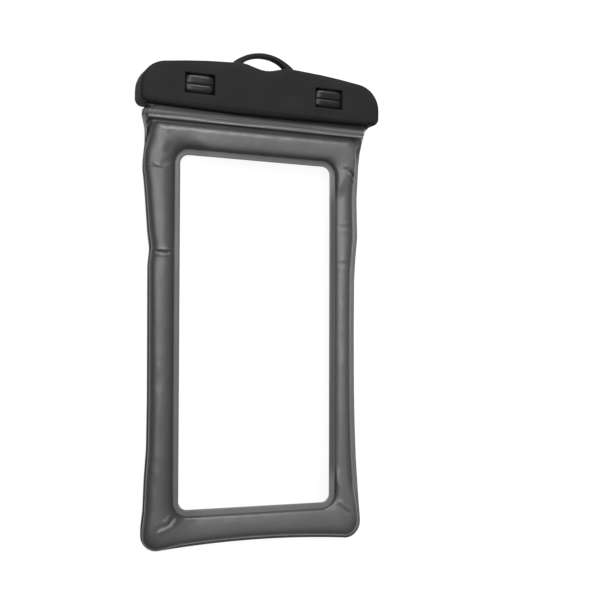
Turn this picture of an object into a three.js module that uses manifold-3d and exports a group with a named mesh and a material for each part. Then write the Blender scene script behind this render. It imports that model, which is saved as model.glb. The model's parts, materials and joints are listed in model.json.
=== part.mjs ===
// Waterproof phone pouch in millimetres. It lies on its back: X across, +Y towards the clip, +Z the front.
// Y is measured from the middle of the clear window; the group at the end centres the whole pouch.
import * as THREE from "three";
import { mergeVertices } from "three/addons/utils/BufferGeometryUtils.js";
import Module from "manifold-3d";

const wasm = await Module();
wasm.setup();

// Films and inflated border. Heights are measured from the welded seam plane.
const SEAM_Z = 6.8;
const SHEET = 0.4;
const SHEET_LOW = 3.2;
const FLANGE_THICKNESS = 0.55;
const CREST = 6.8;
const WINDOW_HALF_WIDTH = 37.2;
const WINDOW_HALF_LENGTH = 80;
const WINDOW_CORNER = 4;
const WINDOW_LAP = 4;
const STRIP_WIDTH = 2.7;
const BACK_OPENING_EXTRA = 2.8;
const BACK_STRIP_WIDTH = 1.8;
const POUCH_HALF_WIDTH = 51.1;
const POUCH_BOTTOM = -98.1;
const POUCH_CORNER = 7.5;
const BOTTOM_BOW = 2.2;
const TOP_FLARE = 3.3;
const TOP_FLARE_SPAN = [30, 98];
const BOTTOM_FLARE = 2.9;
const BOTTOM_FLARE_SPAN = [50, 92];
const FLANGE_WIDTH = 1.6;
const BOTTOM_FLANGE_WIDTH = 2.1;
const BORDER_TOP = 93.3;
const BORDER_TOP_CORNER = 4;
const BORDER_BOTTOM_CORNER = 6.5;
const FOLD_Y = 96.75;
const FOLD_GAP = 0.3;
const FILM_END = 105.8;
const NECK_CORNER = 1.5;
const NECK_INSET = 0.1;
const FILM_HALF_WIDTH = POUCH_HALF_WIDTH + TOP_FLARE - NECK_CORNER - NECK_INSET;

// Clip
const CLIP_BOTTOM = 99.6;
const CLIP_BOTTOM_RISE = 1.1;
const CLIP_LOW_CORNER = 3.6;
const CLIP_TOP = 123.6;
const CLIP_TOP_FALL = 0.00153;
const CLIP_TOP_CORNER = 12.2;
const CLIP_THICKNESS = 14.4;
const CLIP_EDGE = 2;
const PARTING_BACK = 5.3;
const PARTING_FRONT = 5.5;
const DIP_HALF_WIDTH = 12.5;
const DIP_DEPTH = 2.5;
const SEAT_END_GAP = 2.4;
const SEAT_HALF_LENGTH = FILM_HALF_WIDTH + SEAT_END_GAP;
const SEAT_TOP = 106.5;
const END_WALL = 3.5;
const CLIP_HALF_LENGTH = SEAT_HALF_LENGTH + END_WALL;
const LINER_GAP = 0.4;
const LINER_LOW = 100.7;
const SKIN = 1.7;
const GASKET_LOW = 102.4;
const GASKET_HIGH = 104.4;
const GASKET_DEPTH = 0.9;
const GASKET_END_WALL = 2.2;
const GASKET_GAP = 0.3;

// Lanyard loop. Its outlines are [X, height above the clip's crown].
const LOOP_RISE = 6.5;
const LOOP_OUTER = [[16, -1.2], [14.9, 0.7], [11.6, 3.1], [6.4, 5.5]];
const LOOP_INNER = [[10.6, -1.2], [9.9, 0.9], [6.9, 2.9], [3.4, 4]];
const LOOP_INNER_RISE = 4.3;
const LOOP_ROOT_DEPTH = 3.7;
const LOOP_TOP = CLIP_TOP + LOOP_RISE;
const LOOP_FOOT = CLIP_TOP - LOOP_ROOT_DEPTH;
const LOOP_Z = [6.2, 10.4];
const LOOP_EDGE = 0.9;
const LOOP_RELIEF = 1;
const LOOP_ROOT_LOW = 2.4;

// Latches. The profile is [Y, Z] about the pin: upper lobe, thumb step and lower lobe.
const LATCH_X = 31.75;
const LATCH_Y = 111.1;
const LATCH_Z = 9.75;
const LATCH_WINDOW = [13.9, 9];
const LATCH_WINDOW_BEVEL = 0.45;
const LATCH_HALF_LENGTH = 6.3;
const LATCH_UPPER = [[3.75, 0], [4.2, 1.5], [4.25, 2.9], [4.05, 3.65], [3.5, 4.1], [2.3, 4.3], [1.1, 4.3],
  [0.1, 4.1]];
const LATCH_LOWER = [[-0.35, 3.5], [-1.4, 3.75], [-2.8, 3.65], [-3.75, 3.1], [-4.15, 2], [-4.1, 0],
  [-3.7, -1.7], [-2.7, -2.95], [-1.5, -3.75]];
const LATCH_LIP = 0.8;
const LATCH_NECK_RADIUS = 3.1;
const LATCH_NECK_ANGLES = [250, 335];
const LATCH_END_TAPER = 0.16;
const HOOK_RADII = [5.1, 6.2];
const HOOK_ANGLES = [-65, 22];
const HOOK_WEB_RADIUS = 2.1;
const HOOK_WEB_ANGLES = [-3, -8];
const HOOK_HALF_WIDTH = 4;
const PIN_RADIUS = 1;
const PIN_GAP = 0.1;
const PIN_HALF_LENGTH = 8.6;
const PIN_BORE_END = 2.4;
const CAVITY_LOW = SEAT_TOP + 0.1;
const LATCH_CAVITY_TOP = LATCH_Y + 7.1;
const OUTER_CAVITY_TOP = 114.2;
const MIDDLE_CAVITY_TOP = 116.8;
const MIDDLE_CAVITY = 22.8;
const OUTER_CAVITY = 40.7;
const OUTER_CAVITY_WALL = 5;
const KEEPER_HALF = 0.7;
const KEEPER_DROP = 4.1;
const KEEPER_POST = 1.1;
const RECESS_HALF_LENGTH = 5.55;
const RECESS_LOW = LATCH_Y - 3.9;
const RECESS_TOP = LATCH_Y + 6.9;
const RECESS_FLOOR = 2.3;

const degrees = THREE.MathUtils.degToRad;
const smooth = THREE.MathUtils.smoothstep;
const lerp = THREE.MathUtils.lerp;

function toSolid(geometry) {
  const bare = new THREE.BufferGeometry();
  bare.setAttribute("position", geometry.getAttribute("position"));
  if (geometry.index) bare.setIndex(geometry.index);
  const merged = mergeVertices(bare, 1e-4);
  return new wasm.Manifold(new wasm.Mesh({
    numProp: 3,
    vertProperties: new Float32Array(merged.attributes.position.array),
    triVerts: new Uint32Array(merged.index.array),
  }));
}

function fromSolid(solid) {
  const mesh = solid.getMesh();
  const geometry = new THREE.BufferGeometry();
  geometry.setAttribute("position", new THREE.BufferAttribute(mesh.vertProperties, mesh.numProp));
  geometry.setIndex(new THREE.BufferAttribute(mesh.triVerts, 1));
  return geometry;
}

const join = (...geometries) => fromSolid(wasm.Manifold.union(geometries.map(toSolid)));
const cut = (base, ...tools) => fromSolid(toSolid(base).subtract(wasm.Manifold.union(tools.map(toSolid))));

function plate(outline, low, high) {
  const shape = new THREE.Shape(outline.map(([x, y]) => new THREE.Vector2(x, y)));
  return new THREE.ExtrudeGeometry(shape, { depth: high - low, bevelEnabled: false }).translate(0, 0, low);
}

function roundedPlate(outline, low, high, edge, segments = 3) {
  const shape = new THREE.Shape(outline.map(([x, y]) => new THREE.Vector2(x, y)));
  return new THREE.ExtrudeGeometry(shape, {
    depth: high - low - 2 * edge,
    bevelThickness: edge,
    bevelSize: edge,
    bevelOffset: -edge,
    bevelSegments: segments,
  }).translate(0, 0, low + edge);
}

function block(x0, x1, y0, y1, z0, z1) {
  return new THREE.BoxGeometry(x1 - x0, y1 - y0, z1 - z0)
    .translate((x0 + x1) / 2, (y0 + y1) / 2, (z0 + z1) / 2);
}

// A profile drawn in (y, z) and run along X.
const alongX = (geometry) => geometry.applyMatrix4(new THREE.Matrix4().makeBasis(
  new THREE.Vector3(0, 1, 0), new THREE.Vector3(0, 0, 1), new THREE.Vector3(1, 0, 0)));

const rod = (radius, halfLength) => new THREE.CylinderGeometry(radius, radius, 2 * halfLength, 20)
  .rotateZ(Math.PI / 2).translate(0, LATCH_Y, LATCH_Z);

// Rows of points skinned into one surface. Each row is a closed loop; the rows close on themselves
// or are capped.
function skin(rows, closed) {
  const n = rows[0].length;
  const points = rows.flat();
  const index = [];
  for (let i = 0; i < rows.length - (closed ? 0 : 1); i++) {
    for (let j = 0; j < n; j++) {
      const a = i * n + j;
      const b = i * n + (j + 1) % n;
      const c = ((i + 1) % rows.length) * n + j;
      const d = ((i + 1) % rows.length) * n + (j + 1) % n;
      index.push(a, b, d, a, d, c);
    }
  }
  if (!closed) {
    for (const [row, turn] of [[0, 1], [rows.length - 1, 0]]) {
      const middle = rows[row].reduce((sum, p) => sum.map((v, k) => v + p[k] / n), [0, 0, 0]);
      points.push(middle);
      for (let j = 0; j < n; j++) {
        const a = row * n + j;
        const b = row * n + (j + 1) % n;
        index.push(points.length - 1, turn ? b : a, turn ? a : b);
      }
    }
  }
  const geometry = new THREE.BufferGeometry();
  geometry.setAttribute("position", new THREE.Float32BufferAttribute(points.flat(), 3));
  geometry.setIndex(index);
  return geometry;
}

// A rounded loop whose half width may change with Y and whose bottom edge may bow. Every loop has
// the same stations.
const SIDE_STATIONS = 26;
const CORNER_STATIONS = 7;
const EDGE_STATIONS = 14;

function loop({ half, top, bottom, topCorner, bottomCorner, bow = 0 }) {
  const points = [];
  const corner = (yc, radius, side, from) => {
    const xc = half(yc) - radius;
    for (let i = 0; i < CORNER_STATIONS; i++) {
      const a = degrees(from + (90 * i) / CORNER_STATIONS);
      points.push([side * xc + radius * Math.cos(a), yc + radius * Math.sin(a)]);
    }
    return xc;
  };
  const high = top - topCorner;
  const low = bottom + bottomCorner;
  const highX = half(high) - topCorner;
  const lowX = half(low) - bottomCorner;
  for (let i = 0; i < SIDE_STATIONS; i++) {
    const y = lerp(low, high, i / SIDE_STATIONS);
    points.push([half(y), y]);
  }
  corner(high, topCorner, 1, 0);
  for (let i = 0; i < EDGE_STATIONS; i++) points.push([lerp(highX, -highX, i / EDGE_STATIONS), top]);
  corner(high, topCorner, -1, 90);
  for (let i = 0; i < SIDE_STATIONS; i++) {
    const y = lerp(high, low, i / SIDE_STATIONS);
    points.push([-half(y), y]);
  }
  corner(low, bottomCorner, -1, 180);
  for (let i = 0; i < EDGE_STATIONS; i++) {
    const t = (2 * i) / EDGE_STATIONS - 1;
    points.push([t * lowX, bottom + bow * (1 - t * t)]);
  }
  corner(low, bottomCorner, 1, 270);
  return points;
}

const pouchHalf = (y) => POUCH_HALF_WIDTH + TOP_FLARE * smooth(y, ...TOP_FLARE_SPAN)
  + BOTTOM_FLARE * smooth(-y, ...BOTTOM_FLARE_SPAN);

const plainLoop = (halfWidth, halfLength, corner) => loop({
  half: () => halfWidth, top: halfLength, bottom: -halfLength, topCorner: corner, bottomCorner: corner });

// How far the film comes down to the seam plane at a station: all the way along the sides and the bottom,
// not at all along the top edge, where the mouth is, and turning from one to the other in the top corners.
function skirtAt(station) {
  const left = SIDE_STATIONS + 2 * CORNER_STATIONS + EDGE_STATIONS;
  const fromTop = Math.min(station - SIDE_STATIONS, left - station) / CORNER_STATIONS;
  return 1 - smooth(fromTop, 0, 1);
}

// One side of the film body: window seam strip, inflated border, skirt down to the seam plane and flange.
const BORDER_STEPS = [0.02, 0.08, 0.18, 0.32, 0.5, 0.68, 0.82, 0.92, 0.98];

function airChamber(openingExtra, stripWidth) {
  const halfWidth = WINDOW_HALF_WIDTH + openingExtra;
  const halfLength = WINDOW_HALF_LENGTH + openingExtra / 2;
  const opening = plainLoop(halfWidth, halfLength, WINDOW_CORNER);
  const strip = plainLoop(halfWidth + stripWidth, halfLength + stripWidth, WINDOW_CORNER + stripWidth);
  const border = loop({ half: (y) => pouchHalf(y) - FLANGE_WIDTH, top: BORDER_TOP,
    bottom: POUCH_BOTTOM + BOTTOM_FLANGE_WIDTH, topCorner: BORDER_TOP_CORNER,
    bottomCorner: BORDER_BOTTOM_CORNER, bow: BOTTOM_BOW });
  const outline = loop({ half: pouchHalf, top: FOLD_Y - FOLD_GAP / 2, bottom: POUCH_BOTTOM,
    topCorner: NECK_CORNER, bottomCorner: POUCH_CORNER, bow: BOTTOM_BOW });
  const rows = outline.map(([x, y], i) => {
    const skirt = skirtAt(i);
    const sheetLow = lerp(SHEET_LOW, 0, skirt);
    const sheetHigh = lerp(SHEET_LOW + SHEET, FLANGE_THICKNESS, skirt);
    const at = (from, to, t, z) => [lerp(from[i][0], to[i][0], t), lerp(from[i][1], to[i][1], t), z];
    const crowned = (t) => {
      const base = lerp(SHEET_LOW + SHEET, sheetHigh, t);
      return base + (CREST - base) * Math.sqrt(1 - Math.abs(2 * t - 1) ** 2.4);
    };
    return [
      at(opening, strip, 0, SHEET_LOW + SHEET),
      at(strip, border, 0, SHEET_LOW + SHEET),
      ...BORDER_STEPS.map((t) => at(strip, border, t, crowned(t))),
      at(border, outline, 0, sheetHigh),
      [x, y, sheetHigh],
      [x, y, sheetLow],
      at(strip, border, 0.93, sheetLow),
      at(strip, border, 0.84, SHEET_LOW),
      at(opening, strip, 0, SHEET_LOW),
    ];
  });
  return rows;
}

const raised = (rows) => rows.map((row) => row.map(([x, y, z]) => [x, y, SEAM_Z + z]));
const sunk = (rows) => rows.map((row) => row.map(([x, y, z]) => [x, y, SEAM_Z - z]).reverse());

// Clip outline, with the dip that clears the lanyard loop.
function clipOutline() {
  const points = [];
  const lowX = CLIP_HALF_LENGTH - CLIP_LOW_CORNER;
  for (let i = -8; i <= 8; i++) points.push([(lowX * i) / 8, CLIP_BOTTOM + CLIP_BOTTOM_RISE * (i / 8) ** 2]);
  const right = [];
  for (let i = 1; i <= 5; i++) {
    const a = degrees(-90 + 18 * i);
    right.push([lowX + CLIP_LOW_CORNER * Math.cos(a),
      CLIP_BOTTOM + CLIP_BOTTOM_RISE + CLIP_LOW_CORNER * (1 + Math.sin(a))]);
  }
  const crown = (x) => CLIP_TOP - CLIP_TOP_FALL * x * x;
  const cornerX = CLIP_HALF_LENGTH - CLIP_TOP_CORNER;
  const turn = Math.PI / 2 - Math.atan(2 * CLIP_TOP_FALL * cornerX);
  const cornerEnd = cornerX + CLIP_TOP_CORNER * Math.cos(turn);
  const cornerY = crown(cornerEnd) - CLIP_TOP_CORNER * Math.sin(turn);
  for (let i = 0; i <= 9; i++) {
    const a = (turn * i) / 9;
    right.push([cornerX + CLIP_TOP_CORNER * Math.cos(a), cornerY + CLIP_TOP_CORNER * Math.sin(a)]);
  }
  for (let i = 1; i <= 7; i++) {
    const x = lerp(cornerEnd, DIP_HALF_WIDTH, i / 7);
    right.push([x, crown(x)]);
  }
  for (let i = 1; i < 7; i++) {
    const x = DIP_HALF_WIDTH * (1 - i / 7);
    right.push([x, crown(x) - DIP_DEPTH * 0.5 * (1 + Math.cos((Math.PI * x) / DIP_HALF_WIDTH))]);
  }
  points.push(...right, [0, crown(0) - DIP_DEPTH]);
  points.push(...right.reverse().map(([x, y]) => [-x, y]));
  return points;
}

const clipBody = roundedPlate(clipOutline(), 0, CLIP_THICKNESS, CLIP_EDGE, 5);
const FAR = 80;

function latchCutters(side) {
  const x = side * LATCH_X;
  const [w, h] = LATCH_WINDOW;
  const rim = [[-1, -1], [1, -1], [1, 1], [-1, 1]].map(([i, j]) => [
    x + i * (w / 2 + LATCH_WINDOW_BEVEL), LATCH_Y + j * (h / 2 + LATCH_WINDOW_BEVEL)]);
  return [
    block(x - w / 2, x + w / 2, LATCH_Y - h / 2, LATCH_Y + h / 2, PARTING_BACK, CLIP_THICKNESS + 1),
    roundedPlate(rim, CLIP_THICKNESS - LATCH_WINDOW_BEVEL, CLIP_THICKNESS + 2, LATCH_WINDOW_BEVEL, 1),
    block(x - w / 2, x + w / 2, CAVITY_LOW, LATCH_CAVITY_TOP, PARTING_BACK, CLIP_THICKNESS - SKIN),
    block(x - w / 2, x + w / 2, LATCH_Y, LATCH_CAVITY_TOP, PARTING_BACK, CLIP_THICKNESS - LATCH_LIP),
    rod(PIN_RADIUS + PIN_GAP, LATCH_WINDOW[0] / 2 + PIN_BORE_END).translate(x, 0, 0),
  ];
}

const cavities = (zLow, zHigh) => {
  const end = SEAT_HALF_LENGTH + END_WALL - OUTER_CAVITY_WALL;
  return [
    block(-MIDDLE_CAVITY, MIDDLE_CAVITY, CAVITY_LOW, MIDDLE_CAVITY_TOP, zLow, zHigh),
    block(OUTER_CAVITY, end, CAVITY_LOW, OUTER_CAVITY_TOP, zLow, zHigh),
    block(-end, -OUTER_CAVITY, CAVITY_LOW, OUTER_CAVITY_TOP, zLow, zHigh),
  ];
};

const SHEET_TOP = SEAM_Z + SHEET_LOW + SHEET;
const SHEET_UNDER = SEAM_Z + SHEET_LOW;
const BACK_SHEET_TOP = SEAM_Z - SHEET_LOW;
const BACK_SHEET_UNDER = BACK_SHEET_TOP - SHEET;

const frontCover = cut(clipBody,
  block(-FAR, FAR, CLIP_BOTTOM - 1, LOOP_TOP, -1, PARTING_FRONT),
  block(-SEAT_HALF_LENGTH, SEAT_HALF_LENGTH, CLIP_BOTTOM - 1, SEAT_TOP, 0, SHEET_TOP),
  block(-LOOP_OUTER[0][0] - LOOP_RELIEF, LOOP_OUTER[0][0] + LOOP_RELIEF, LOOP_FOOT - LOOP_RELIEF, LOOP_TOP,
    0, LOOP_Z[1] + LOOP_RELIEF / 2),
  ...latchCutters(-1), ...latchCutters(1),
  ...cavities(0, CLIP_THICKNESS - SKIN));

// The arch stands level with the front cover's inside, on two feet that rise out of the back cover.
function loopArch() {
  const curve = (half, rise) => {
    const up = half.map(([x, y]) => new THREE.Vector2(x, CLIP_TOP + y));
    const down = up.map((p) => new THREE.Vector2(-p.x, p.y)).reverse();
    return new THREE.SplineCurve([...up, new THREE.Vector2(0, CLIP_TOP + rise), ...down])
      .getPoints(26).map((p) => [p.x, p.y]);
  };
  const outerX = LOOP_OUTER[0][0];
  const innerX = LOOP_INNER[0][0];
  const outline = [[outerX, LOOP_FOOT], ...curve(LOOP_OUTER, LOOP_RISE), [-outerX, LOOP_FOOT],
    [-innerX, LOOP_FOOT], ...curve(LOOP_INNER, LOOP_INNER_RISE).reverse(), [innerX, LOOP_FOOT]];
  const foot = [innerX + LOOP_EDGE, outerX - LOOP_EDGE];
  const footTop = CLIP_TOP + LOOP_OUTER[0][1];
  const middle = (LOOP_Z[0] + LOOP_Z[1]) / 2;
  return [
    roundedPlate(outline, ...LOOP_Z, LOOP_EDGE),
    block(foot[0], foot[1], LOOP_FOOT + LOOP_EDGE, footTop, LOOP_ROOT_LOW, middle),
    block(-foot[1], -foot[0], LOOP_FOOT + LOOP_EDGE, footTop, LOOP_ROOT_LOW, middle),
  ];
}

function keeper(side) {
  const x = side * LATCH_X;
  const z = LATCH_Z - KEEPER_DROP;
  const reach = RECESS_HALF_LENGTH + KEEPER_POST;
  const low = LATCH_Y - KEEPER_HALF;
  const high = LATCH_Y + KEEPER_HALF;
  return [
    block(x - reach, x + reach, low, high, z - KEEPER_HALF, z + KEEPER_HALF),
    block(x - reach, x - RECESS_HALF_LENGTH, low, high, RECESS_FLOOR, z + KEEPER_HALF),
    block(x + RECESS_HALF_LENGTH, x + reach, low, high, RECESS_FLOOR, z + KEEPER_HALF),
  ];
}

const backCover = join(
  cut(clipBody,
    block(-FAR, FAR, CLIP_BOTTOM - 1, LOOP_TOP, PARTING_BACK, CLIP_THICKNESS + 1),
    block(-SEAT_HALF_LENGTH, SEAT_HALF_LENGTH, CLIP_BOTTOM - 1, SEAT_TOP, BACK_SHEET_UNDER, CLIP_THICKNESS),
    ...[-LATCH_X, LATCH_X].map((x) => block(x - RECESS_HALF_LENGTH, x + RECESS_HALF_LENGTH,
      RECESS_LOW, RECESS_TOP, RECESS_FLOOR, CLIP_THICKNESS))),
  ...loopArch(), ...keeper(-1), ...keeper(1));

// Latch: a two-lobed rocker with a thumb step, relieved below for the keeper, and a hook that
// reaches round the keeper.
const HOOK_STEPS = 8;
const NECK_STEPS = 7;
const LATCH_ROWS = 6;

function latchProfile() {
  const smoothed = (list) => new THREE.SplineCurve(list.map(([y, z]) => new THREE.Vector2(y, z)))
    .getPoints(2 * list.length - 1).map((p) => [p.x, p.y]);
  const neck = Array.from({ length: NECK_STEPS + 1 }, (_, i) => {
    const a = degrees(lerp(...LATCH_NECK_ANGLES, i / NECK_STEPS));
    return [LATCH_NECK_RADIUS * Math.cos(a), LATCH_NECK_RADIUS * Math.sin(a)];
  });
  return [...smoothed(LATCH_UPPER), ...smoothed(LATCH_LOWER), ...neck];
}

function latch(side) {
  const profile = latchProfile();
  const rows = [];
  for (let i = -LATCH_ROWS; i <= LATCH_ROWS; i++) {
    const t = Math.sin((Math.PI / 2) * (i / LATCH_ROWS));
    const scale = 1 - LATCH_END_TAPER * t ** 6;
    rows.push(profile.map(([y, z]) => [t * LATCH_HALF_LENGTH, LATCH_Y + scale * y, LATCH_Z + scale * z]));
  }
  const [inner, outer] = HOOK_RADII;
  const [tip, root] = HOOK_ANGLES;
  const arc = (radius, from, to) => Array.from({ length: HOOK_STEPS + 1 }, (_, i) => {
    const a = degrees(lerp(from, to, i / HOOK_STEPS));
    return [LATCH_Y + radius * Math.cos(a), LATCH_Z + radius * Math.sin(a)];
  });
  const hook = [...arc(outer, tip, root), ...arc(HOOK_WEB_RADIUS, root, HOOK_WEB_ANGLES[0]),
    ...arc(inner, HOOK_WEB_ANGLES[1], tip)];
  return cut(
    join(skin(rows, false), alongX(plate(hook, -HOOK_HALF_WIDTH, HOOK_HALF_WIDTH))),
    rod(PIN_RADIUS + PIN_GAP, LATCH_HALF_LENGTH + 1)).translate(side * LATCH_X, 0, 0);
}

const seatPlate = (low, high) => block(-SEAT_HALF_LENGTH + LINER_GAP, SEAT_HALF_LENGTH - LINER_GAP,
  LINER_LOW, SEAT_TOP - LINER_GAP, low, high);
const gasketHalf = SEAT_HALF_LENGTH - LINER_GAP - GASKET_END_WALL;
const gasket = (gap) => block(-gasketHalf + gap, gasketHalf - gap, GASKET_LOW + gap, GASKET_HIGH - gap,
  PARTING_BACK - GASKET_DEPTH, gap ? PARTING_BACK : CLIP_THICKNESS);
const windowFilm = (extra, low) => plate(
  plainLoop(WINDOW_HALF_WIDTH + extra, WINDOW_HALF_LENGTH + extra, WINDOW_CORNER + extra), low, low + SHEET);

const pieces = {
  front_air_chamber: skin(raised(airChamber(0, STRIP_WIDTH)), true),
  back_air_chamber: join(
    skin(sunk(airChamber(BACK_OPENING_EXTRA, BACK_STRIP_WIDTH)), true),
    block(-FILM_HALF_WIDTH, FILM_HALF_WIDTH, FOLD_Y - 1, FILM_END, BACK_SHEET_UNDER + NECK_INSET / 5,
      BACK_SHEET_TOP - NECK_INSET / 5)),
  front_window: windowFilm(WINDOW_LAP, SHEET_UNDER - SHEET),
  back_window: windowFilm(WINDOW_LAP + 1, BACK_SHEET_TOP),
  front_mouth_strip: block(-FILM_HALF_WIDTH, FILM_HALF_WIDTH, FOLD_Y + FOLD_GAP / 2, FILM_END,
    SHEET_UNDER, SHEET_TOP),
  front_jaw_cover: frontCover,
  front_jaw_liner: seatPlate(PARTING_FRONT, SHEET_UNDER),
  back_jaw_cover: backCover,
  back_jaw_liner: cut(seatPlate(BACK_SHEET_TOP, PARTING_BACK), gasket(0)),
  seal_gasket: gasket(GASKET_GAP),
  latch_left: latch(-1),
  latch_right: latch(1),
  latch_pin_left: rod(PIN_RADIUS, PIN_HALF_LENGTH).translate(-LATCH_X, 0, 0),
  latch_pin_right: rod(PIN_RADIUS, PIN_HALF_LENGTH).translate(LATCH_X, 0, 0),
};

const surface = (color, roughness, metalness = 0, opacity = 1) =>
  new THREE.MeshStandardMaterial({ color, roughness, metalness, opacity, transparent: opacity < 1 });
const GREY_FILM = surface(0x6e6e70, 0.45);
const CLEAR_FILM = surface(0xf8fafa, 0.1, 0, 0.15);
const BLACK_SHELL = surface(0x303031, 0.4);
const BLACK_LINER = surface(0x2a2a2b, 0.6);
const BLACK_GLOSS = surface(0x151516, 0.15);
const SEAL_RUBBER = surface(0x4a4a4a, 0.8);
const PIN_STEEL = surface(0x9a9a9a, 0.35, 1);
const materials = {
  front_air_chamber: GREY_FILM,
  back_air_chamber: GREY_FILM,
  front_mouth_strip: GREY_FILM,
  front_window: CLEAR_FILM,
  back_window: CLEAR_FILM,
  front_jaw_cover: BLACK_SHELL,
  back_jaw_cover: BLACK_SHELL,
  front_jaw_liner: BLACK_LINER,
  back_jaw_liner: BLACK_LINER,
  seal_gasket: SEAL_RUBBER,
  latch_left: BLACK_GLOSS,
  latch_right: BLACK_GLOSS,
  latch_pin_left: PIN_STEEL,
  latch_pin_right: PIN_STEEL,
};

const pouch = new THREE.Group();
for (const [name, geometry] of Object.entries(pieces)) {
  const mesh = new THREE.Mesh(geometry, materials[name]);
  mesh.name = name;
  pouch.add(mesh);
}
pouch.position.y = -(LOOP_TOP + POUCH_BOTTOM) / 2;

export default pouch;
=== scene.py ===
import json
import math
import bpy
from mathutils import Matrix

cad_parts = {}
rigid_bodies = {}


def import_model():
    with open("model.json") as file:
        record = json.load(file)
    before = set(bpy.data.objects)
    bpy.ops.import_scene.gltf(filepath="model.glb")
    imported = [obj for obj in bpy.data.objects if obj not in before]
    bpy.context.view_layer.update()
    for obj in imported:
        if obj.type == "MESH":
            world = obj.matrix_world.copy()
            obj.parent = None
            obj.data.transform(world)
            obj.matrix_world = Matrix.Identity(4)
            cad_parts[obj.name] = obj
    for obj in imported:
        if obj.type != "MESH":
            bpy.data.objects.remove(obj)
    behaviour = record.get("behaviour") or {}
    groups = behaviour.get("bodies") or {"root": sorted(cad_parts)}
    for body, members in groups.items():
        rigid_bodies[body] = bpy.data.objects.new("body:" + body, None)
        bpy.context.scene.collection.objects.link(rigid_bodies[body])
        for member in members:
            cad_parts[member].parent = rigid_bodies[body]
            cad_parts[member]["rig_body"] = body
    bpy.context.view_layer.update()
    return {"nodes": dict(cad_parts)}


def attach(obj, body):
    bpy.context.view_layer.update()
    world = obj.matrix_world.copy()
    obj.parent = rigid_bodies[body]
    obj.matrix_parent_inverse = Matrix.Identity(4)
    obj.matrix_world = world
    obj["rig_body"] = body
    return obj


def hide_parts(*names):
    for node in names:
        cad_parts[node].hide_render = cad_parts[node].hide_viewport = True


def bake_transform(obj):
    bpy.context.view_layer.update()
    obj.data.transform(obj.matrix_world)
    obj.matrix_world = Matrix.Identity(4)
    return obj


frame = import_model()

from types import SimpleNamespace

import bmesh
import bpy
import numpy as np
from mathutils import Euler, Matrix, Vector, noise

NODES = frame["nodes"]

# Sizes of the film parts are in millimetres from the middle of the clear window, with the lowest
# back face at z 0. The row frame is in metres.
MM = 0.001
WINDOW_MIDDLE_Y = -16.0


def to_row(points):
    return (np.asarray(points, float) + np.array([0.0, WINDOW_MIDDLE_Y, 0.0])) * MM


def smooth(a, b, x):
    """Ease from 0 at a to 1 at b."""
    t = np.clip((np.asarray(x, float) - a) / (b - a), 0, 1)
    return t * t * (3 - 2 * t)


def bump(x, centre, width):
    return np.exp(-((np.asarray(x, float) - centre) / width) ** 2)


def ripple(x, y, scale, seed):
    """Soft uneven relief, between about -1 and 1."""
    pairs = zip(x.ravel(), y.ravel())
    heights = [noise.noise(Vector((a / scale, b / scale, seed))) for a, b in pairs]
    return np.array(heights).reshape(x.shape)


def link_object(name, data):
    obj = bpy.data.objects.new(name, data)
    bpy.context.scene.collection.objects.link(obj)
    return obj


class Tree:
    """The nodes of a material or the world. Lower-case settings are options, the others are sockets."""

    def __init__(self, owner):
        owner.use_nodes = True
        self.nodes = owner.node_tree.nodes
        self.link = owner.node_tree.links.new
        self.nodes.clear()

    def add(self, kind, **settings):
        node = self.nodes.new("ShaderNode" + kind)
        for name, value in settings.items():
            if name[0].isupper():
                node.inputs[name.replace("_", " ")].default_value = value
            else:
                setattr(node, name, value)
        return node


def grey(level):
    return (level, level, level, 1)


# Camera: its place in millimetres and its turn about x, y and z in degrees.

CAMERA_AT = (-154.33, 0.66, 431.35)
CAMERA_TURN = (1.445, -22.526, 1.036)
SENSOR_WIDTH = 36
FOCAL_PIXELS = 968.73
FRAME_PIXELS = 600

camera_data = bpy.data.cameras.new("camera")
camera_data.sensor_width = SENSOR_WIDTH
camera_data.sensor_fit = "HORIZONTAL"
camera_data.lens = SENSOR_WIDTH * FOCAL_PIXELS / FRAME_PIXELS
camera_data.clip_start = 0.01
camera = link_object("camera", camera_data)
camera_turn = Euler([math.radians(angle) for angle in CAMERA_TURN])
camera.matrix_world = Matrix.LocRotScale(Vector(to_row(CAMERA_AT)), camera_turn, None)
bpy.context.scene.camera = camera
bpy.context.scene.view_settings.view_transform = "Standard"


# Light, world and floor

AMBIENT = 0.16
FLOOR_HALF = 3
FLOOR_DROP = 0.0004
FLOOR_GREY = 0.14
FLOOR_WHITE = 0.94


def studio_world():
    world = bpy.data.worlds.new("studio")
    tree = Tree(world)
    ambient = tree.add("Background", Color=grey(1), Strength=AMBIENT)
    backdrop = tree.add("Background", Color=grey(1), Strength=1.0)
    path = tree.add("LightPath")
    pick = tree.add("MixShader")
    out = tree.add("OutputWorld")
    tree.link(path.outputs["Is Camera Ray"], pick.inputs[0])
    tree.link(ambient.outputs[0], pick.inputs[1])
    tree.link(backdrop.outputs[0], pick.inputs[2])
    tree.link(pick.outputs[0], out.inputs[0])
    bpy.context.scene.world = world


def area_light(name, at, size, power):
    """A rectangular lamp that faces the middle of the frame. Its values are in metres and watts."""
    data = bpy.data.lights.new(name, "AREA")
    data.shape = "RECTANGLE"
    data.size, data.size_y = size
    data.energy = power
    lamp = link_object(name, data)
    lamp.location = at
    lamp.rotation_euler = (-Vector(at)).to_track_quat("-Z", "Y").to_euler()


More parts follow.
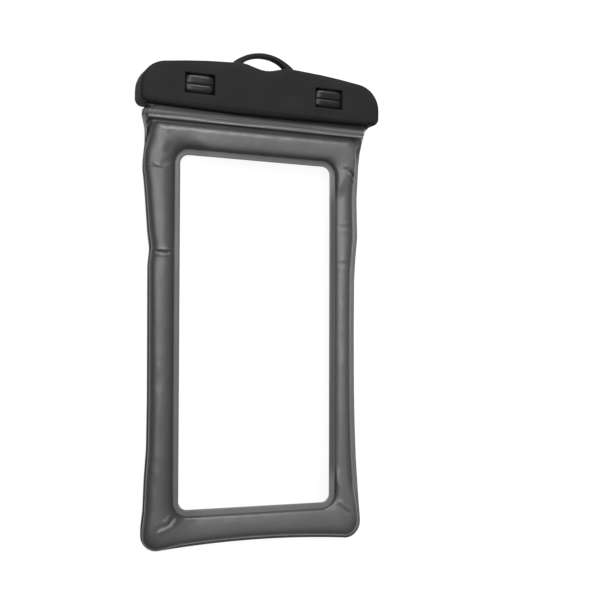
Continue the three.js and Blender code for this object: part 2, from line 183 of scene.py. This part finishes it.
def floor_white():
    """A pale floor that looks white to the eye, in reflections and through film, and keeps a shadow."""
    material = bpy.data.materials.new("floor_white")
    tree = Tree(material)
    diffuse = tree.add("BsdfDiffuse", Color=grey(FLOOR_GREY))
    glow = tree.add("Emission")
    path = tree.add("LightPath")
    seen_or_mirrored = tree.add("Math", operation="MAXIMUM")
    visible = tree.add("Math", operation="MAXIMUM")
    level = tree.add("Math", operation="MULTIPLY")
    level.inputs[1].default_value = FLOOR_WHITE
    both = tree.add("AddShader")
    out = tree.add("OutputMaterial")
    tree.link(path.outputs["Is Camera Ray"], seen_or_mirrored.inputs[0])
    tree.link(path.outputs["Is Glossy Ray"], seen_or_mirrored.inputs[1])
    tree.link(seen_or_mirrored.outputs[0], visible.inputs[0])
    tree.link(path.outputs["Is Transmission Ray"], visible.inputs[1])
    tree.link(visible.outputs[0], level.inputs[0])
    tree.link(level.outputs[0], glow.inputs["Strength"])
    tree.link(diffuse.outputs[0], both.inputs[0])
    tree.link(glow.outputs[0], both.inputs[1])
    tree.link(both.outputs[0], out.inputs["Surface"])
    return material


studio_world()
area_light("top_softbox", (0.1, 0.98, 0.84), (0.7, 0.24), 9.2)
area_light("front_softbox", (-0.16, 0.16, 0.66), (0.5, 0.5), 3.05)

floor_mesh = bpy.data.meshes.new("floor")
floor_corners = [(x * FLOOR_HALF, y * FLOOR_HALF, 0) for x, y in ((-1, -1), (1, -1), (1, 1), (-1, 1))]
floor_mesh.from_pydata(floor_corners, [], [(0, 1, 2, 3)])
floor_mesh.materials.append(floor_white())
floor = link_object("floor", floor_mesh)
floor.location.z = -FLOOR_DROP


# Materials. The scale of a noise is in patches a metre, and a bump's distance is in metres.

def principled(name, color, roughness, **sockets):
    material = bpy.data.materials.new(name)
    tree = Tree(material)
    shader = tree.add("BsdfPrincipled", Base_Color=(*color, 1), Roughness=roughness, **sockets)
    out = tree.add("OutputMaterial")
    tree.link(shader.outputs[0], out.inputs["Surface"])
    return material, tree, shader


def noise_map(tree, scale, detail=3):
    place = tree.add("TexCoord")
    sized = tree.add("Mapping", Scale=(scale, scale, scale))
    pattern = tree.add("TexNoise", Scale=1, Detail=detail, Roughness=0.5)
    tree.link(place.outputs["Object"], sized.inputs["Vector"])
    tree.link(sized.outputs["Vector"], pattern.inputs["Vector"])
    return pattern.outputs["Fac"]


def ramp(tree, source, low, high):
    """Turn a noise into a blend between two stops, each a place and its colour or level."""
    node = tree.add("ValToRGB")
    for stop, (place, value) in zip(node.color_ramp.elements, (low, high)):
        stop.position = place
        stop.color = (*np.broadcast_to(value, 3), 1)
    tree.link(source, node.inputs["Fac"])
    return node.outputs["Color"]


def bumped(tree, shader, height, strength, distance, below=None):
    node = tree.add("Bump", Strength=strength, Distance=distance)
    tree.link(height, node.inputs["Height"])
    if below is not None:
        tree.link(below, node.inputs["Normal"])
    tree.link(node.outputs["Normal"], shader.inputs["Normal"])
    return node.outputs["Normal"]


def grey_film():
    """Smoke-grey film. Its colour is scaled by a point attribute of painted shade and painted light:
    darker beside the welds, in grooves and folds and under the clip, and lighter or darker by side.
    """
    material, tree, shader = principled("grey_film", (0.15, 0.15, 0.152), 0.36, Specular_IOR_Level=0.5)
    patches = ramp(tree, noise_map(tree, 38, 4), (0.3, (0.118, 0.118, 0.12)), (0.7, (0.136, 0.136, 0.138)))
    painted_shade = tree.add("Attribute", attribute_name="painted_shade")
    color = tree.add("Mix", data_type="RGBA", blend_type="MULTIPLY", Factor=1.0)
    tree.link(patches, color.inputs["A"])
    tree.link(painted_shade.outputs["Color"], color.inputs["B"])
    tree.link(color.outputs["Result"], shader.inputs["Base Color"])
    haze = ramp(tree, noise_map(tree, 160), (0.3, 0.3), (0.7, 0.38))
    tree.link(haze, shader.inputs["Roughness"])
    grain = bumped(tree, shader, noise_map(tree, 900, 2), 0.04, 0.0003)
    bumped(tree, shader, noise_map(tree, 90), 0.12, 0.0008, grain)
    return material


def clear_film():
    """Clear film with a faint gloss, slow waves and a few smudges."""
    material = bpy.data.materials.new("clear_film")
    tree = Tree(material)
    clear = tree.add("BsdfTransparent", Color=grey(0.997))
    gloss = tree.add("BsdfGlossy", Color=grey(1), Roughness=0.12)
    veil = tree.add("BsdfDiffuse", Color=grey(0.9))
    facing = tree.add("Fresnel", IOR=1.25)
    waves = tree.add("Bump", Strength=0.25, Distance=0.001)
    tree.link(noise_map(tree, 22, 2), waves.inputs["Height"])
    tree.link(waves.outputs["Normal"], gloss.inputs["Normal"])
    tree.link(waves.outputs["Normal"], facing.inputs["Normal"])
    smudges = ramp(tree, noise_map(tree, 30, 4), (0.5, 0.0), (0.75, 0.03))
    smudged = tree.add("MixShader")
    glossy = tree.add("MixShader")
    out = tree.add("OutputMaterial")
    tree.link(smudges, smudged.inputs[0])
    tree.link(clear.outputs[0], smudged.inputs[1])
    tree.link(veil.outputs[0], smudged.inputs[2])
    tree.link(facing.outputs[0], glossy.inputs[0])
    tree.link(smudged.outputs[0], glossy.inputs[1])
    tree.link(gloss.outputs[0], glossy.inputs[2])
    tree.link(glossy.outputs[0], out.inputs["Surface"])
    return material


def moulded(name, color, roughness, grain, grain_scale=2600, **sockets):
    """A solid material with slightly uneven colour and gloss and a fine grain."""
    material, tree, shader = principled(name, color, roughness, **sockets)
    dark = tuple(c * 0.9 for c in color)
    light = tuple(c * 1.12 for c in color)
    patches = ramp(tree, noise_map(tree, 60, 4), (0.3, dark), (0.7, light))
    tree.link(patches, shader.inputs["Base Color"])
    dull = ramp(tree, noise_map(tree, 210), (0.3, roughness * 0.9), (0.7, roughness * 1.15))
    tree.link(dull, shader.inputs["Roughness"])
    bumped(tree, shader, noise_map(tree, grain_scale, 2), grain, 0.0002)
    return material


GREY_FILM = grey_film()
CLEAR_FILM = clear_film()
SHELL = moulded("black_shell", (0.0255, 0.0255, 0.026), 0.5, 0.3, IOR=1.1)
LINER = moulded("black_liner", (0.02, 0.02, 0.021), 0.55, 0.3)
GLOSS = moulded("black_gloss", (0.017, 0.017, 0.0175), 0.3, 0.05, Specular_IOR_Level=0.3)
RUBBER = moulded("seal_rubber", (0.05, 0.05, 0.05), 0.8, 0.4, 1500)
STEEL = moulded("pin_steel", (0.5, 0.5, 0.5), 0.35, 0.1, 1200, Metallic=1)


# Mesh helpers

def add_mesh(name, vertices, faces, material, sharp_angle=None):
    mesh = bpy.data.meshes.new(name)
    mesh.from_pydata([tuple(v) for v in vertices], [], faces)
    mesh.validate()
    mesh.update()
    for polygon in mesh.polygons:
        polygon.use_smooth = True
    if sharp_angle:
        mesh.set_sharp_from_angle(angle=math.radians(sharp_angle))
    mesh.materials.append(material)
    return link_object(name, mesh)


# Painted light and shade for the film: a scale on its colour at each point.
def add_painted_shade(obj, values):
    layer = obj.data.color_attributes.new("painted_shade", "FLOAT_COLOR", "POINT")
    colors = np.ones((len(values), 4))
    colors[:, :3] = np.asarray(values, float)[:, None]
    layer.data.foreach_set("color", colors.ravel())


def grid_faces(rows, columns, closed=False):
    """Faces between the points of a grid, joined round on itself both ways where it is closed."""
    faces = []
    for i in range(rows if closed else rows - 1):
        for j in range(columns if closed else columns - 1):
            next_i, next_j = (i + 1) % rows, (j + 1) % columns
            here, there = i * columns, next_i * columns
            faces.append((here + j, there + j, there + next_j, here + next_j))
    return faces


def turned_over(faces):
    return [face[::-1] for face in faces]


MERGE_DISTANCE = 1e-6
FLAT_ANGLE = 1.5
BEVEL_ANGLE = 35


def dress(node, material, name, bevel, sharp_angle=32):
    """A finer copy of a rigid piece, with rounded edges and smooth faces, that stands for it."""
    source = NODES[node]
    mesh = source.data.copy()
    mesh.name = name
    obj = link_object(name, mesh)
    b = bmesh.new()
    b.from_mesh(mesh)
    bmesh.ops.remove_doubles(b, verts=b.verts, dist=MERGE_DISTANCE)
    bmesh.ops.dissolve_limit(b, angle_limit=math.radians(FLAT_ANGLE), verts=b.verts, edges=b.edges)
    b.to_mesh(mesh)
    b.free()
    mesh.materials.clear()
    mesh.materials.append(material)
    for polygon in mesh.polygons:
        polygon.use_smooth = True
    edges = obj.modifiers.new("edges", "BEVEL")
    edges.width = bevel
    edges.segments = 2
    edges.limit_method = "ANGLE"
    edges.angle_limit = math.radians(BEVEL_ANGLE)
    edges.harden_normals = True
    mesh.set_sharp_from_angle(angle=math.radians(sharp_angle))
    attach(obj, source["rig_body"])
    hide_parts(node)


# Outline of the pouch: half widths (y, half width) where the sway of each side turns.

LEFT_SIDE = [
    (-98, 53.0), (-87, 53.0), (-80, 52.25), (-66, 51.95), (-52, 51.2), (-30, 51.3), (0, 51.85),
    (29, 52.4), (36.5, 51.7), (43, 52.7), (65, 54.7), (72, 55.65), (75.5, 55.6), (84, 54.85),
    (90, 55.0), (96.5, 56.5), (100, 56.0),
]
RIGHT_SIDE = [
    (-98, 54.3), (-90, 54.7), (-78, 53.5), (-60, 51.95), (-44, 51.05), (-28, 50.45), (2, 49.85),
    (26, 49.65), (36, 50.1), (46.5, 50.95), (65, 50.25), (81, 50.9), (89, 51.7), (97, 53.6),
    (100, 54.2),
]
SIDE_Y = np.linspace(-98, 100, 397)
ROUNDING = np.exp(-np.linspace(-2, 2, 11) ** 2)


def rounded_side(points):
    """Half widths at the steps of SIDE_Y, with the turns between the points rounded off."""
    y, half = np.transpose(points)
    half = np.pad(np.interp(SIDE_Y, y, half), len(ROUNDING) // 2, mode="edge")
    return np.convolve(half, ROUNDING / ROUNDING.sum(), mode="valid")


LEFT_HALVES = rounded_side(LEFT_SIDE)
RIGHT_HALVES = rounded_side(RIGHT_SIDE)


def outline_half(y, side):
    return np.interp(y, SIDE_Y, RIGHT_HALVES if side > 0 else LEFT_HALVES)


# A border is a ring of stations round the window. side is 1 on the right and -1 on the left.

SIDE_STATIONS, END_STATIONS, CORNER_STATIONS = 340, 190, 30


def loop(half, top, bottom, top_radius, bottom_radius, bow=0.0):
    """Points up the right side, along the top, down the left side and back along the bowed bottom."""
    high, low = top - top_radius, bottom + bottom_radius
    points = []

    def run_along(side, y_from, y_to):
        for i in range(SIDE_STATIONS):
            y = y_from + (y_to - y_from) * i / SIDE_STATIONS
            points.append((side * half(y, side), y))

    def turn_corner(side, y, radius, first_angle):
        x = side * (half(y, side) - radius)
        for i in range(CORNER_STATIONS):
            angle = math.radians(first_angle + 90 * i / CORNER_STATIONS)
            points.append((x + radius * math.cos(angle), y + radius * math.sin(angle)))

    def cross_over(side, y, corner_y, radius, rise):
        x_from = side * (half(corner_y, side) - radius)
        x_to = -side * (half(corner_y, -side) - radius)
        for i in range(END_STATIONS):
            t = 2 * i / END_STATIONS - 1
            points.append((x_from + (x_to - x_from) * i / END_STATIONS, y + rise * (1 - t * t)))

    run_along(1, low, high)
    turn_corner(1, high, top_radius, 0)
    cross_over(1, top, high, top_radius, 0.0)
    turn_corner(-1, high, top_radius, 90)
    run_along(-1, high, low)
    turn_corner(-1, low, bottom_radius, 180)
    cross_over(-1, bottom, low, bottom_radius, bow)
    turn_corner(1, low, bottom_radius, 270)
    return np.array(points)


def along_top():
    """1 at the stations of the top edge, easing to 0 through its two corners."""
    first = SIDE_STATIONS
    last = first + 2 * CORNER_STATIONS + END_STATIONS
    station = np.arange(2 * SIDE_STATIONS + 2 * END_STATIONS + 4 * CORNER_STATIONS)
    return smooth(0, 1, np.minimum(station - first, last - station) / CORNER_STATIONS)


# Creases in the front border: (x0, y0, x1, y1, depth, width, lip above, lip below). A negative
# depth is a ridge.
CREASES = [
    (-55.4, 71.7, -50.4, 71.6, 0.3, 0.7, 0.1, 0.1),
    (-52.4, 73.6, -48.8, 72.4, -0.55, 0.6, 0.0, 0.0),
    (-48.6, 73.6, -42.8, 76.8, 0.22, 1.6, 0.05, 0.08),
    (-44.0, 83.6, -46.6, 78.6, 0.14, 2.2, 0.05, 0.08),
    (-52.2, 35.9, -42.8, 35.7, -0.6, 0.6, 0.0, 0.0),
    (-50.0, 34.5, -44.6, 34.4, 0.7, 0.8, 0.0, 0.3),
    (40.6, 78.8, 44.6, 77.0, 1.0, 0.9, 0.25, 0.5),
    (44.2, 77.2, 47.8, 73.4, 1.5, 0.9, 0.25, 0.8),
    (47.4, 73.6, 51.4, 72.0, 1.4, 0.9, 0.0, 0.9),
    (-52.4, 91.0, -46.0, 88.6, -0.25, 1.6, 0.0, 0.0),
    (38.8, 50.4, 45.0, 50.9, 0.2, 1.4, 0.1, 0.1),
    (38.5, 32.6, 44.0, 33.4, 0.2, 1.6, 0.1, 0.1),
    (-39.4, -82.4, -42.6, -86.0, 0.45, 1.3, 0.2, 0.35),
    (-42.4, -85.4, -47.4, -87.2, 0.3, 1.3, 0.35, 0.1),
    (39.8, -81.0, 45.4, -85.4, 0.35, 1.4, 0.4, 0.1),
]
CREASE_END = 0.8


def crease_relief(x, y):
    total = np.zeros_like(x)
    for x0, y0, x1, y1, depth, width, above, below in CREASES:
        dx, dy = x1 - x0, y1 - y0
        length = math.hypot(dx, dy)
        along = ((x - x0) * dx + (y - y0) * dy) / length ** 2
        across = ((y - y0) * dx - (x - x0) * dy) / length
        end = CREASE_END / length
        fade = smooth(-end, end, along) * (1 - smooth(1 - end, 1 + end, along))
        groove = depth * bump(across, 0, width * 0.7)
        lip_above = above * bump(across, width * 1.3, width * 0.7)
        lip_below = below * bump(across, -width * 1.3, width * 0.8)
        total += fade * (lip_above + lip_below - groove)
    return total


def front_relief(x, y):
    waves = 0.30 * ripple(x, y, 17, 3.1) + 0.10 * ripple(x, y, 7, 8.4) + 0.06 * ripple(x, y, 3.5, 4.4)
    return crease_relief(x, y) + waves - 0.25


def back_relief(x, y):
    return 0.22 * ripple(x, y, 17, 5.7) - 0.15


# Heights are above the seam between the two borders. The window's film is welded under the strip
# round it, the tube is the inflated part, and the flange outside the tube is welded to the other half.

SEAM_Z = 6.8
FILM = 0.4
STRIP_LOW = 3.2
STRIP_HIGH = STRIP_LOW + FILM
STRIP_EDGE_DROP = 0.16
FLANGE_HIGH = 0.55
FLANGE_EDGE_DROP = 0.12
RIGHT_SLACK = 1.3

WINDOW_HALF, WINDOW_END, WINDOW_RADIUS = 37.2, 80.0, 4
WINDOW_LEAN = 1.2
WINDOW_LEFT_SHIFT, WINDOW_RIGHT_SHIFT = 0.9, 1.7
BACK_WINDOW_WIDER = 2.8

FOLD_Y = 96.75
TUBE_ENDS, TUBE_RADII = (92.8, -95.9), (4, 6.5)
EDGE_ENDS, EDGE_RADII = (FOLD_Y - 0.1, -98.1), (1.5, 7.5)
BOTTOM_BOW = 2.2
RIGHT_FLANGE = 3.2

TUBE_TURNS = np.linspace(0.0, math.pi, 52)
TUBE_FULLNESS = 0.96
RELIEF_FALLOFF = 1.4
PINCH = 0.62

# Rings across the flange, outwards: share of its width, rise at the mouth, rise on the right, drop in
# the groove along the top and painted shade there.
FLANGE_RINGS = [
    (0.03, 0.1, 0.0, 0.8, 0.8),
    (0.22, 0.6, 0.2, 0.9, 0.8),
    (0.42, 1.2, 0.32, 0.8, 0.8),
    (0.56, 2.9, 0.4, 0.0, 0.6),
    (0.85, 1.0, 0.2, 0.0, 0.2),
]
WELD_LINE_SHARE = 0.1
# Painted shade along the weld line beside the tube, and the darkest the painted shade makes the film.
WELD_LINE_PAINTED_SHADE = 0.42
DARKEST_PAINTED_SHADE = 0.24
# Painted shade on the underside of the border.
UNDERSIDE_PAINTED_SHADE = 0.7


def front_window_half(y, side):
    """The front window sits to the left and leans that way with its upper end."""
    shift = WINDOW_RIGHT_SHIFT if side > 0 else WINDOW_LEFT_SHIFT
    return WINDOW_HALF - side * (shift + WINDOW_LEAN * y / WINDOW_END)


def back_window_half(y, side):
    return WINDOW_HALF + BACK_WINDOW_WIDER


def front_outer_pinch(zones):
    return PINCH * (0.72 + 0.4 * zones.left - 0.5 * zones.right) * (1 - 0.8 * zones.high)


def back_outer_pinch(zones):
    return PINCH * 0.3 * (1 - zones.left)


FRONT = SimpleNamespace(
    up=1, window_half=front_window_half, head=79.2, foot=-WINDOW_END, strip=3.0, left_flange=0.9,
    crest=7.3, tallest=7.65, relief=front_relief, outer_pinch=front_outer_pinch,
)
BACK_END = WINDOW_END + BACK_WINDOW_WIDER / 2
BACK = SimpleNamespace(
    up=-1, window_half=back_window_half, head=BACK_END, foot=-BACK_END, strip=1.8, left_flange=2.5,
    crest=6.7, tallest=6.7, relief=back_relief, outer_pinch=back_outer_pinch,
)


def border_loops(form):
    strip_radius = WINDOW_RADIUS + form.strip
    return SimpleNamespace(
        opening=loop(form.window_half, form.head, form.foot, WINDOW_RADIUS, WINDOW_RADIUS),
        strip=loop(lambda y, side: form.window_half(y, side) + form.strip,
                   form.head + form.strip, form.foot - form.strip, strip_radius, strip_radius),
        tube=loop(lambda y, side: outline_half(y, side) - (RIGHT_FLANGE if side > 0 else form.left_flange),
                  *TUBE_ENDS, *TUBE_RADII, BOTTOM_BOW),
        edge=loop(outline_half, *EDGE_ENDS, *EDGE_RADII, BOTTOM_BOW),
    )


def border_zones(loops):
    """How far each station belongs to each part of the border, from 0 to 1."""
    x, y = loops.tube.T
    groove = along_top()
    return SimpleNamespace(
        right=smooth(34, 44, x) * (1 - smooth(72, 84, np.abs(y))),
        left=smooth(34, 44, -x),
        high=smooth(78, 90, y),
        low=smooth(80, 92, -y),
        mouth=smooth(86, 92, loops.edge[:, 1]) * (1 - groove),
        groove=groove,
    )


class Skin:
    """Rings of points round a border, each with its painted light and shade, a scale on the film's colour.
    """

    def __init__(self):
        self.rings, self.painted_shades = [], []

    def add(self, inner, outer, share, height, painted_shade=1.0):
        place = inner + (outer - inner) * np.reshape(share, (-1, 1))
        count = len(place)
        self.rings.append(np.column_stack([place, np.broadcast_to(height, count)]))
        self.painted_shades.append(np.broadcast_to(painted_shade, count))


def add_strip(skin, loops, zones):
    # Painted light and shade by side: the strip is lighter along the top and bottom, darker on the right
    # and a little darker on the left.
    painted_shade = 1.35 - 0.65 * zones.right - 0.25 * zones.left
    skin.add(loops.opening, loops.strip, 0, STRIP_HIGH - STRIP_EDGE_DROP, painted_shade)
    for share in (0.06, 0.3, 0.7, 0.9):
        skin.add(loops.opening, loops.strip, share, STRIP_HIGH, painted_shade)


def add_tube(skin, form, loops, zones, flange_high):
    """The inflated tube, which bulges past its welds by the pinch and has painted shade close to them."""
    crest = form.crest - RIGHT_SLACK * zones.right
    inner_pinch = PINCH * (0.55 - 0.65 * zones.right)
    outer_pinch = form.outer_pinch(zones)
    # How far from the inner and outer welds the painted shade reaches.
    inner_shade_reach = 0.34 + 0.3 * zones.left - 0.14 * zones.right - 0.14 * zones.low
    outer_shade_reach = 0.5 - 0.12 * zones.high + 0.25 * zones.right
    for turn in TUBE_TURNS:
        outward = turn > math.pi / 2
        pinch = outer_pinch if outward else inner_pinch
        share = 0.5 - 0.5 * math.cos(turn) * (1 + pinch * math.sin(turn))
        plain_share = 0.5 - 0.5 * math.cos(turn)
        base = STRIP_HIGH * (1 - plain_share) + flange_high * plain_share
        height = base + (crest - base) * math.sin(turn) ** TUBE_FULLNESS
        from_inner = smooth(0, 1, plain_share / inner_shade_reach)
        from_outer = smooth(0, 1, (1 - plain_share) / outer_shade_reach)
        # The painted shade is deepest at the welds. The right tube's inner side is darkened less.
        least = 0.3 + (0.0 if outward else 0.45 * zones.right)
        painted_shade = least + (1 - least) * np.minimum(from_inner, from_outer)
        # The whole left tube carries some painted shade.
        skin.add(loops.strip, loops.tube, share, height, painted_shade * (1 - 0.2 * zones.left))


def add_flange(skin, loops, zones, flange_high):
    # Painted light and shade by side: the flange is lighter on the right and darker on the left, away from
    # the mouth.
    side_painted_light = 1.0 + 0.35 * zones.right - 0.68 * zones.left * (1 - zones.mouth)
    for share, mouth_rise, right_rise, drop, groove_shade in FLANGE_RINGS:
        height = flange_high + mouth_rise * zones.mouth + right_rise * zones.right - drop * zones.groove
        # Painted shade along the weld line beside the tube, and in the groove along the top and at the
        # mouth.
        weld = WELD_LINE_PAINTED_SHADE if share < WELD_LINE_SHARE else 1.0
        groove_painted_shade = 1 - groove_shade * np.maximum(0.4 * zones.mouth, zones.groove)
        painted_shade = np.maximum(weld * side_painted_light * groove_painted_shade, DARKEST_PAINTED_SHADE)
        skin.add(loops.tube, loops.edge, share, height, painted_shade)
    # The outer edge carries a little more painted shade.
    skin.add(loops.tube, loops.edge, 1.0, flange_high - FLANGE_EDGE_DROP, 0.8 * side_painted_light)


def add_underside(skin, loops, zones):
    """From the outer edge back to the window, under the flange, the tube's outer weld and the strip."""
    low = STRIP_LOW * zones.groove
    for share, drop in ((1.0, 0.0), (0.6, 0.0), (0.46, 0.95), (0.02, 0.95)):
        # The underside under the flange has painted shade.
        skin.add(loops.tube, loops.edge, share, low - drop * zones.groove, UNDERSIDE_PAINTED_SHADE)
    skin.add(loops.strip, loops.tube, 0.93, low - 0.5 * zones.groove)
    skin.add(loops.strip, loops.tube, 0.84, STRIP_LOW)
    skin.add(loops.opening, loops.strip, 0, STRIP_LOW)


def border(name, node, form):
    loops = border_loops(form)
    zones = border_zones(loops)
    flange_high = STRIP_HIGH * zones.groove + FLANGE_HIGH * (1 - zones.groove)
    skin = Skin()
    add_strip(skin, loops, zones)
    crown = slice(len(skin.rings), len(skin.rings) + len(TUBE_TURNS))
    add_tube(skin, form, loops, zones, flange_high)
    add_flange(skin, loops, zones, flange_high)
    add_underside(skin, loops, zones)

    grid = np.stack(skin.rings, axis=1)
    x, y, z = (grid[:, crown, axis] for axis in range(3))
    relief = np.sin(TUBE_TURNS) ** RELIEF_FALLOFF * form.relief(x, y)
    grid[:, crown, 2] = np.minimum(z + relief, form.tallest)
    grid[..., 2] = SEAM_Z + form.up * grid[..., 2]
    faces = grid_faces(*grid.shape[:2], closed=True)
    if form.up < 0:
        faces = turned_over(faces)
    obj = add_mesh(name, to_row(grid.reshape(-1, 3)), faces, GREY_FILM, sharp_angle=60)
    add_painted_shade(obj, np.stack(skin.painted_shades, axis=1).ravel())
    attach(obj, "pouch")
    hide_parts(node)


border("front_border", "front_air_chamber", FRONT)
border("back_border", "back_air_chamber", BACK)


# Clear windows

WINDOW_SAG = 0.35


def window_film(name, node, weld, z, seed):
    """A film that reaches under the border by the weld and sags a little in the middle."""
    columns, rows = 60, 120
    half, end = WINDOW_HALF + weld, WINDOW_END + weld
    x, y = np.meshgrid(np.linspace(-1, 1, columns) * half, np.linspace(-1, 1, rows) * end)
    free = (1 - smooth(0.9, 1.0, np.abs(x) / half)) * (1 - smooth(0.93, 1.0, np.abs(y) / end))
    height = z - WINDOW_SAG * free * (0.6 + ripple(x, y, 45, seed))
    points = np.stack([x, y, height], axis=-1).reshape(-1, 3)
    obj = add_mesh(name, to_row(points), turned_over(grid_faces(rows, columns)), CLEAR_FILM)
    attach(obj, "pouch")
    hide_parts(node)


window_film("front_window_film", "front_window", 4, 9.95, 1.3)
window_film("back_window_film", "back_window", 5, 3.65, 6.2)


# Neck: the front film goes on into the front jaw, the back film into the back jaw.

NECK_TOP = 105.6
CLIP_LEFT_HALF, CLIP_RIGHT_HALF = 54.6, 54.4
CLIP_ENTRY = (98.4, 100.2)
SIDE_FOLD = 2.4
FOLD_DEPTH = 2.9
SIDE_WELD, SIDE_WELD_WIDTH, SIDE_WELD_RISE = 2.6, 0.4, 0.15
# The fold at DARK_FOLD_Y carries a line of painted shade, this wide.
DARK_FOLD_Y, FOLD_SHADE_WIDTH = 96.3, 0.32
NECK_COLUMNS, NECK_ROWS = 260, 60


def rim(columns, rows):
    """Indices round the rim of a grid."""
    low = list(range(columns))
    right = [row * columns + columns - 1 for row in range(1, rows)]
    high = [(rows - 1) * columns + column for column in range(columns - 2, -1, -1)]
    left = [row * columns for row in range(rows - 2, 0, -1)]
    return low + right + high + left


def neck_strip(name, y_from, z, folds, fold_down, thickness):
    """Film across the neck, with its sides folded over below the clip and pressed flat inside it.

    Each fold across it is (y, width, height)."""
    u, y = np.meshgrid(np.linspace(-1, 1, NECK_COLUMNS), np.linspace(y_from, NECK_TOP, NECK_ROWS))
    inside = smooth(*CLIP_ENTRY, y)
    left = outline_half(y, -1) * (1 - inside) + CLIP_LEFT_HALF * inside
    right = outline_half(y, 1) * (1 - inside) + CLIP_RIGHT_HALF * inside
    x = np.where(u < 0, u * left, u * right)
    from_side = np.minimum(x + left, right - x)
    base = z + fold_down * (1 - inside) * (1 - smooth(0.0, SIDE_FOLD, from_side))
    height = base + thickness
    for fold_y, width, rise in folds:
        height += rise * bump(y, fold_y + 0.2 * np.sin(x / 9.0), width)
    height += SIDE_WELD_RISE * bump(from_side, SIDE_WELD, SIDE_WELD_WIDTH)
    height += 0.06 * ripple(x, y, 12, 2.2) * (1 - smooth(98, 100, y)) * smooth(1, 4, from_side)

    top = np.stack([x, y, height], axis=-1).reshape(-1, 3)
    bottom = np.stack([x, y, base], axis=-1).reshape(-1, 3)
    count = len(top)
    upward = turned_over(grid_faces(NECK_ROWS, NECK_COLUMNS))
    downward = [tuple(i + count for i in face) for face in turned_over(upward)]
    ring = rim(NECK_COLUMNS, NECK_ROWS)
    around = [(a, a + count, b + count, b) for a, b in zip(ring, ring[1:] + ring[:1])]
    points = to_row(np.concatenate([top, bottom]))
    obj = add_mesh(name, points, upward + downward + around, GREY_FILM, sharp_angle=50)
    # Painted shade: a dark line along the fold, and a painted shadow where the strip goes into the clip.
    in_clip_shade = smooth(98.2, 98.9, y)
    painted_shade = (1.05 - 0.5 * bump(y, DARK_FOLD_Y, FOLD_SHADE_WIDTH)) * (1 - 0.8 * in_clip_shade)
    add_painted_shade(obj, np.tile(painted_shade.ravel(), 2))
    return obj


MOUTH_LOW, BACK_NECK_LOW = 94.8, 94.2

mouth = neck_strip("mouth_strip", MOUTH_LOW, 10.02,
                   [(DARK_FOLD_Y, 0.3, -0.36), (95.2, 0.45, 0.2), (97.4, 0.6, 0.2)], -FOLD_DEPTH, FILM)
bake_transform(mouth)
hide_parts("front_mouth_strip")

back_neck = neck_strip("back_neck", BACK_NECK_LOW, 3.22, [(98.3, 0.6, 0.1)], FOLD_DEPTH, 0.36)
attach(back_neck, "pouch")


# Clip, seal, latches and pins

dress("front_jaw_cover", SHELL, "front_shell", bevel=0.00025)
dress("back_jaw_cover", SHELL, "back_shell", bevel=0.00025)
dress("front_jaw_liner", LINER, "front_liner", bevel=0.0003)
dress("back_jaw_liner", LINER, "back_liner", bevel=0.0002)
dress("seal_gasket", RUBBER, "gasket", bevel=0.0003)
for side in ("left", "right"):
    dress("latch_" + side, GLOSS, "latch_barrel_" + side, bevel=0.00015, sharp_angle=40)
    dress("latch_pin_" + side, STEEL, "pin_" + side, bevel=0.0001, sharp_angle=40)
